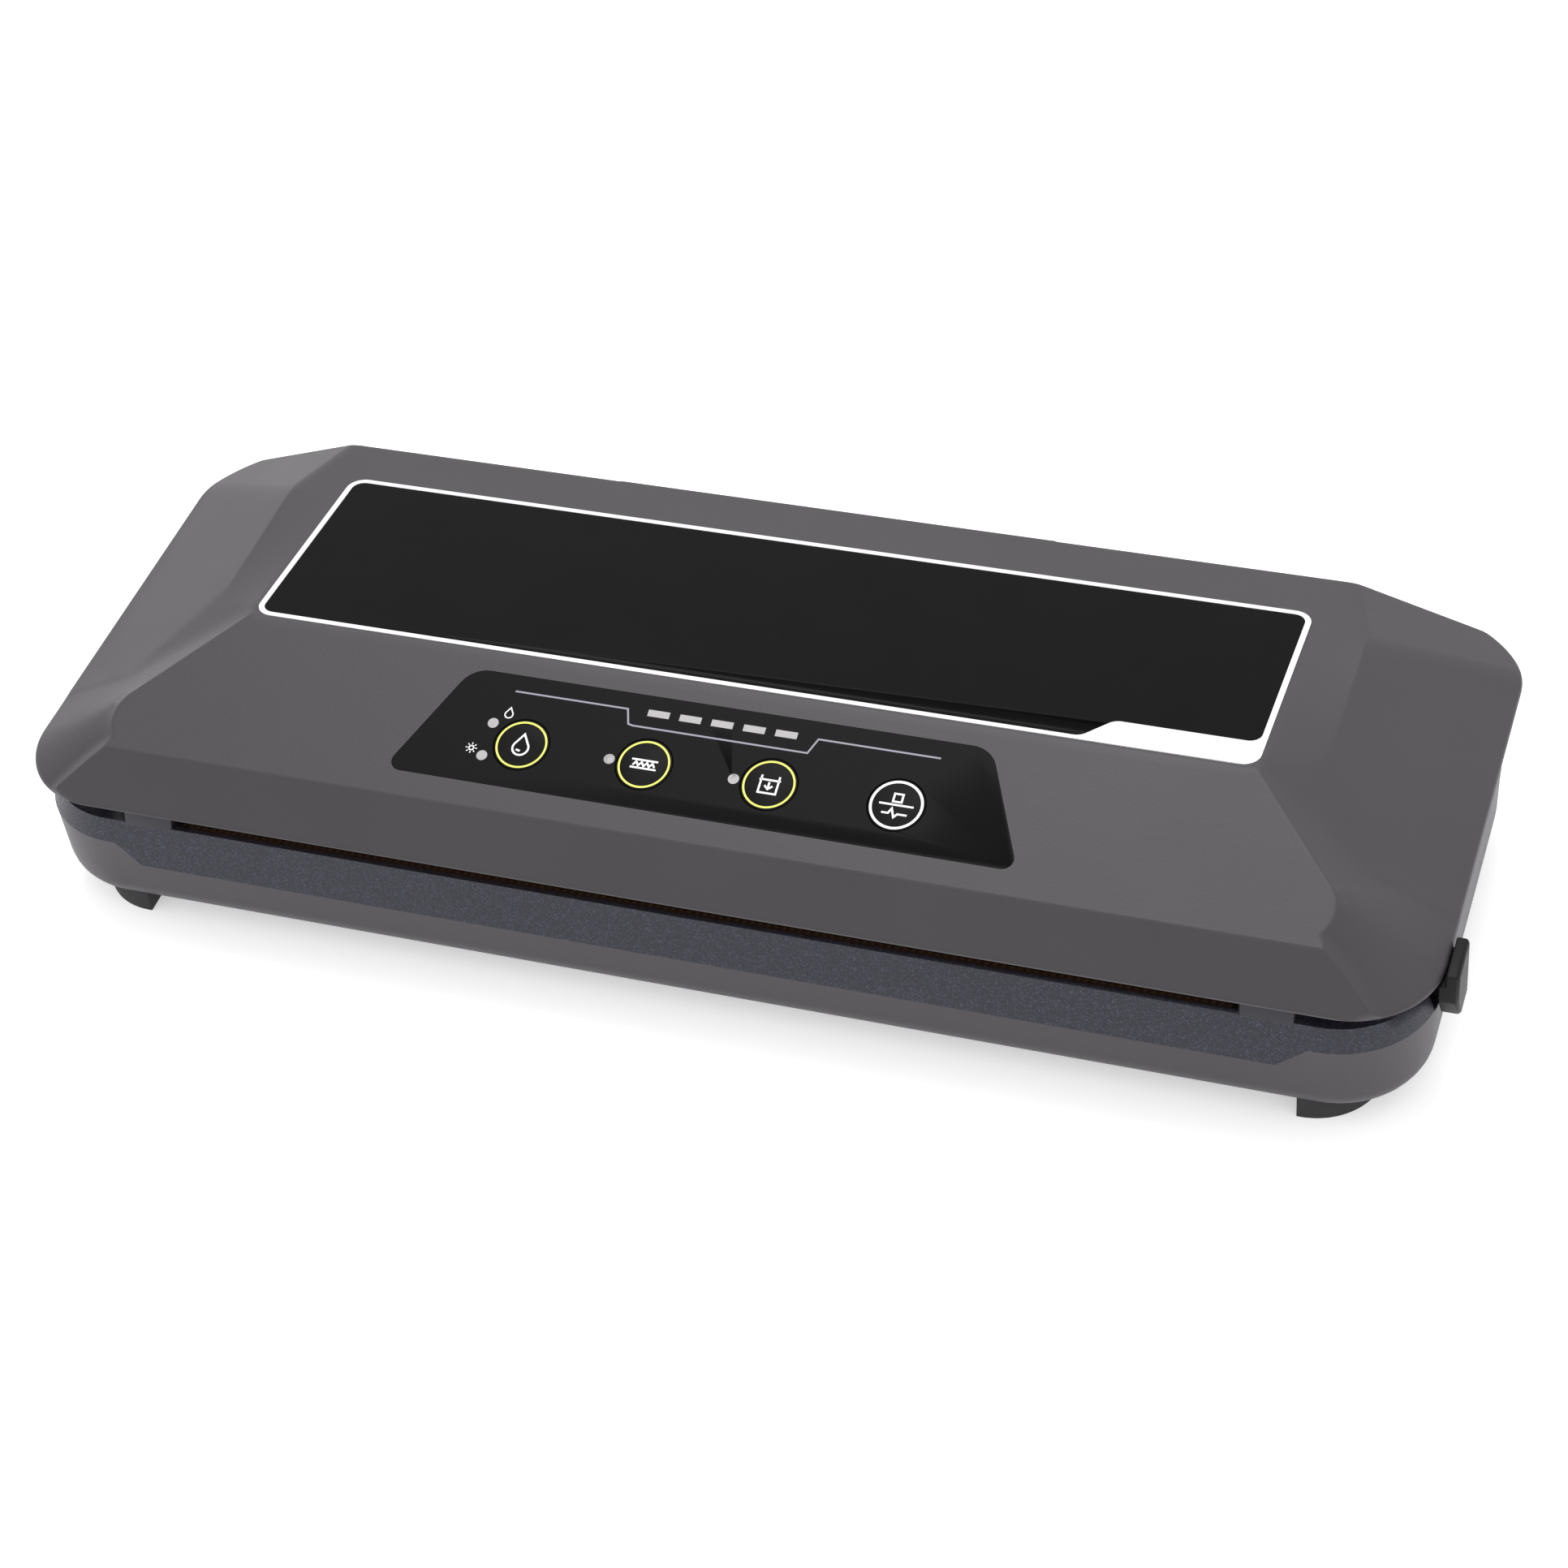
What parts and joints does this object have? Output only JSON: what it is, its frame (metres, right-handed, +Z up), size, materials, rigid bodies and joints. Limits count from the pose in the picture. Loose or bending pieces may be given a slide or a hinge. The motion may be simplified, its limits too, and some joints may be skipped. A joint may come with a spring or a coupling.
{
  "type": "vacuum packing machine",
  "caption": "Countertop vacuum packing machine with hinged faceted lid, dark top panel, sloping key panel, front bag slot and side lock lever.",
  "frame": {"origin": "on the table under the middle of the machine", "axes": "+X to the user's right along the bag slot, +Y to the back, +Z up; the front faces -Y"},
  "size_m": [0.3936, 0.1491, 0.07],
  "materials": {
    "lid_shell_grey": "moulded ABS, satin, fine spark texture",
    "base_shell_grey": "moulded ABS, satin, fine spark texture",
    "deck_blue_grey": "moulded ABS with metallic fleck",
    "liner_grey": "moulded ABS, plain",
    "gloss_black": "black acrylic, polished",
    "panel_silver": "satin silver trim",
    "overlay_black": "printed polyester film",
    "key_black": "printed key caps",
    "lamp_grey": "frosted light guides",
    "rubber_dark": "moulded rubber",
    "gasket_foam": "closed cell sponge rubber",
    "silicone_red_brown": "silicone rubber",
    "ptfe_tape": "woven glass cloth with PTFE",
    "bar_phenolic": "heat resistant moulding",
    "nichrome": "flat resistance strip",
    "steel_bright": "zinc plated steel",
    "lever_black": "moulded acetal",
    "hook_black": "glass filled nylon",
    "pump_plastic": "glass filled nylon",
    "motor_steel": "zinc plated can",
    "hose_silicone": "translucent silicone tube",
    "coil_tape": "taped copper winding",
    "circuit_board": "glass epoxy board",
    "core_steel": "laminated core",
    "component_black": "moulded components",
    "led_clear": "clear lamp bodies",
    "brass_pins": "plated contact pins"
  },
  "bodies": {
    "base": {"base_shell": "base_shell_grey", "base_deck": "deck_blue_grey", "seal_bar": "bar_phenolic", "heating_strip": "nichrome", "seal_tape": "ptfe_tape", "base_gasket": "gasket_foam", "foot_front_left": "rubber_dark", "foot_front_right": "rubber_dark", "foot_rear_left": "rubber_dark", "foot_rear_right": "rubber_dark", "housing_screws": "steel_bright", "motor_can": "motor_steel", "pump_housing": "pump_plastic", "valve_cover": "pump_plastic", "pump_screws": "steel_bright", "vacuum_hose": "hose_silicone", "valve_coil": "coil_tape", "power_board": "circuit_board", "transformer": "core_steel", "board_components": "component_black", "board_screws": "steel_bright", "power_inlet": "component_black", "inlet_pins": "brass_pins", "hinge_pin_left": "steel_bright", "hinge_pin_right": "steel_bright"},
    "latch": {"latch_bar": "steel_bright", "latch_hook_right": "hook_black", "latch_hook_left": "hook_black", "lock_lever": "lever_black"},
    "pump_rotor": {"motor_rotor": "core_steel", "eccentric": "steel_bright"},
    "pump_link": {"pump_rod": "hook_black", "diaphragm": "rubber_dark"},
    "valve_core": {"valve_plunger": "steel_bright"},
    "lid": {"lid_shell": "lid_shell_grey", "lid_liner": "liner_grey", "pressure_strip": "silicone_red_brown", "lid_gasket": "gasket_foam", "latch_keepers": "steel_bright", "liner_screws": "steel_bright", "panel_frame": "panel_silver", "top_panel": "gloss_black", "control_overlay": "overlay_black", "status_lenses": "lamp_grey", "progress_lenses": "lamp_grey", "control_board": "circuit_board", "tact_switches": "component_black", "indicator_leds": "led_clear", "control_board_screws": "steel_bright"},
    "mode_key": {"button_mode": "key_black"},
    "seal_key": {"button_seal": "key_black"},
    "vacuum_seal_key": {"button_vacuum_seal": "key_black"},
    "stop_key": {"button_stop": "key_black"}
  },
  "joints": [
    {"name": "lid_hinge", "type": "hinge", "parent": "base", "child": "lid", "pos_m": [0, 0.062, 0.041], "axis": [-1, 0, 0], "range_deg": [0, 70]},
    {"name": "latch_pivot", "type": "hinge", "parent": "base", "child": "latch", "pos_m": [0, -0.046, 0.014], "axis": [1, 0, 0], "range_deg": [0, 9]},
    {"name": "rotor_spin", "type": "hinge", "parent": "base", "child": "pump_rotor", "pos_m": [-0.05, 0.018, 0.024], "axis": [1, 0, 0], "continuous": true},
    {"name": "rod_slide", "type": "slide", "parent": "base", "child": "pump_link", "axis": [0, 1, 0], "range_m": [-0.0015, 0.0015]},
    {"name": "valve_slide", "type": "slide", "parent": "base", "child": "valve_core", "axis": [0, 1, 0], "range_m": [0, 0.0015], "stiffness_N_per_m": 120, "springref_m": -0.0005},
    {"name": "mode_press", "type": "slide", "parent": "lid", "child": "mode_key", "axis": [0, 0.3039, -0.9527], "range_m": [0, 0.0005], "stiffness_N_per_m": 1500},
    {"name": "seal_press", "type": "slide", "parent": "lid", "child": "seal_key", "axis": [0, 0.3039, -0.9527], "range_m": [0, 0.0005], "stiffness_N_per_m": 1500},
    {"name": "vacuum_seal_press", "type": "slide", "parent": "lid", "child": "vacuum_seal_key", "axis": [0, 0.3039, -0.9527], "range_m": [0, 0.0005], "stiffness_N_per_m": 1500},
    {"name": "stop_press", "type": "slide", "parent": "lid", "child": "stop_key", "axis": [0, 0.3039, -0.9527], "range_m": [0, 0.0005], "stiffness_N_per_m": 1500}
  ]
}
